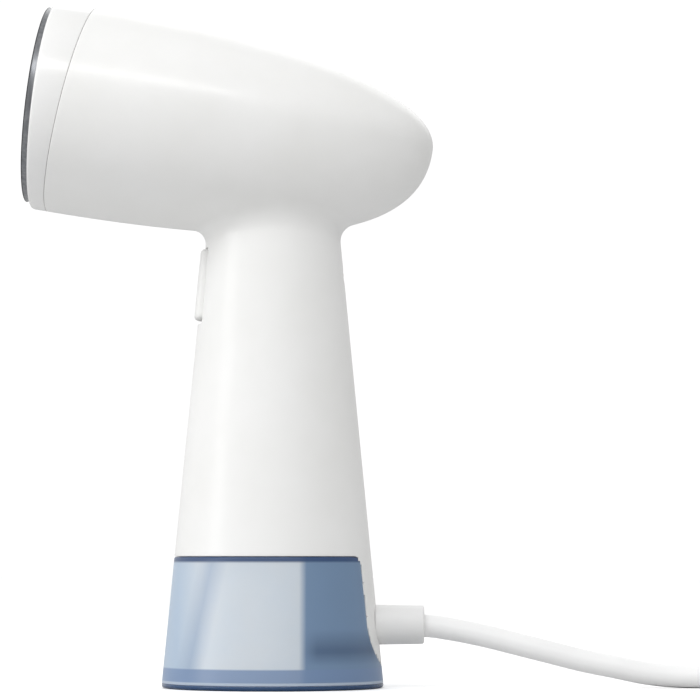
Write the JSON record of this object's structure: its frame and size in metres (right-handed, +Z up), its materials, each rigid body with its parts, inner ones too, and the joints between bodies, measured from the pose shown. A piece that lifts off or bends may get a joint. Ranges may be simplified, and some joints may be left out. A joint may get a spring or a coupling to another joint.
{
  "type": "garment steamer",
  "caption": "Handheld garment steamer with a bullet-shaped steam head on a tapering oval handle, a trigger, a clip-off water tank it stands on and a coiled mains cord.",
  "frame": {"origin": "middle of the tank's flat underside, which the steamer stands on", "axes": "+Z up the handle, -X the way the soleplate faces, +X towards the nose and the cord's exit, Y across; Y = 0 is the plane where the housing halves meet"},
  "size_m": [0.3263, 0.1264, 0.214],
  "materials": {
    "shell_white": "white moulded housing, satin gloss",
    "ring_white": "white moulded ring, glossier than the housing",
    "soleplate_metal": "grey satin soleplate with a fine brushed grain",
    "gasket_silicone": "pale silicone",
    "boiler_casting": "as-cast aluminium",
    "screw_steel": "zinc-plated steel",
    "element_sheath": "heat-darkened steel sheath",
    "thermostat_copper": "coppered cap on a ceramic base",
    "fuse_ceramic": "glazed ceramic sleeve",
    "shield_mica": "pressed mica sheet",
    "pump_nylon": "natural nylon",
    "coil_winding": "varnished copper winding",
    "yoke_steel": "zinc-plated sheet steel",
    "plunger_steel": "ground stainless steel",
    "spring_steel": "stainless spring wire",
    "mount_rubber": "black rubber",
    "spigot_plastic": "pale grey moulding",
    "seal_rubber": "black O-ring rubber",
    "hose_clear": "milky tube",
    "filter_plastic": "white sintered filter",
    "hose_silicone": "translucent silicone hose",
    "board_green": "solder-masked circuit board",
    "lens_amber": "amber light pipe",
    "bracket_plastic": "grey glass-filled nylon",
    "trigger_white": "white moulded trigger",
    "pin_steel": "ground steel pin",
    "switch_black": "black moulded switch",
    "button_red": "red plunger",
    "terminal_nylon": "ivory nylon terminal block",
    "wire_insulation": "wire insulation",
    "clamp_plastic": "grey nylon clamp",
    "bush_white": "white flexible strain relief",
    "tank_frosted": "frosted translucent ice-blue tank",
    "tank_base_blue": "deeper blue translucent base",
    "cord_white": "white round mains cord",
    "plug_white": "white moulded plug",
    "pin_brass": "nickel-plated brass pins",
    "tie_grey": "grey hook-and-loop tie"
  },
  "bodies": {
    "body": {"left_housing": "shell_white", "right_housing": "shell_white", "front_ring": "ring_white", "steam_plate": "soleplate_metal", "plate_gasket": "gasket_silicone", "boiler_body": "boiler_casting", "boiler_cover": "boiler_casting", "boiler_screws": "screw_steel", "heating_element": "element_sheath", "thermostat": "thermostat_copper", "thermal_fuse": "fuse_ceramic", "heat_shield": "shield_mica", "pump_body": "pump_nylon", "pump_coil": "coil_winding", "pump_yoke": "yoke_steel", "pump_spring": "spring_steel", "pump_mounts": "mount_rubber", "tank_spigot": "spigot_plastic", "tank_seal": "seal_rubber", "suction_tube": "hose_clear", "inlet_filter": "filter_plastic", "delivery_tube": "hose_silicone", "circuit_board": "board_green", "indicator_lens": "lens_amber", "switch_bracket": "bracket_plastic", "trigger_pin": "pin_steel", "trigger_spring": "spring_steel", "microswitch": "switch_black", "terminal_block": "terminal_nylon", "lead_wires": "wire_insulation", "cord_clamp": "clamp_plastic", "cord_bushing": "bush_white", "housing_screws": "screw_steel", "power_cord": "cord_white", "cord_coil": "cord_white", "plug_body": "plug_white", "plug_pins": "pin_brass", "cord_tie": "tie_grey"},
    "tank": {"tank_shell": "tank_frosted", "tank_base": "tank_base_blue"},
    "trigger": {"trigger": "trigger_white"},
    "button": {"switch_button": "button_red"},
    "plunger": {"pump_plunger": "plunger_steel"}
  },
  "joints": [
    {"name": "trigger_press", "type": "hinge", "parent": "body", "child": "trigger", "pos_m": [-0.014, 0, 0.133], "axis": [0, -1, 0], "range_deg": [0, 4.5], "stiffness_Nm_per_rad": 0.05, "springref_deg": -8.59, "deforming": ["trigger_spring"]},
    {"name": "button_press", "type": "slide", "parent": "body", "child": "button", "axis": [1, 0, 0], "range_m": [0, 0.0012]},
    {"name": "tank_release", "type": "slide", "parent": "body", "child": "tank", "axis": [0, 0, -1], "range_m": [0, 0.045]},
    {"name": "pump_stroke", "type": "slide", "parent": "body", "child": "plunger", "axis": [0, 0, 1], "range_m": [-0.0015, 0.0015], "stiffness_N_per_m": 500, "deforming": ["pump_spring"]}
  ],
  "couplings": [
    {"joint": "button_press", "follows": "trigger_press", "m_per_rad": 0.0152}
  ]
}
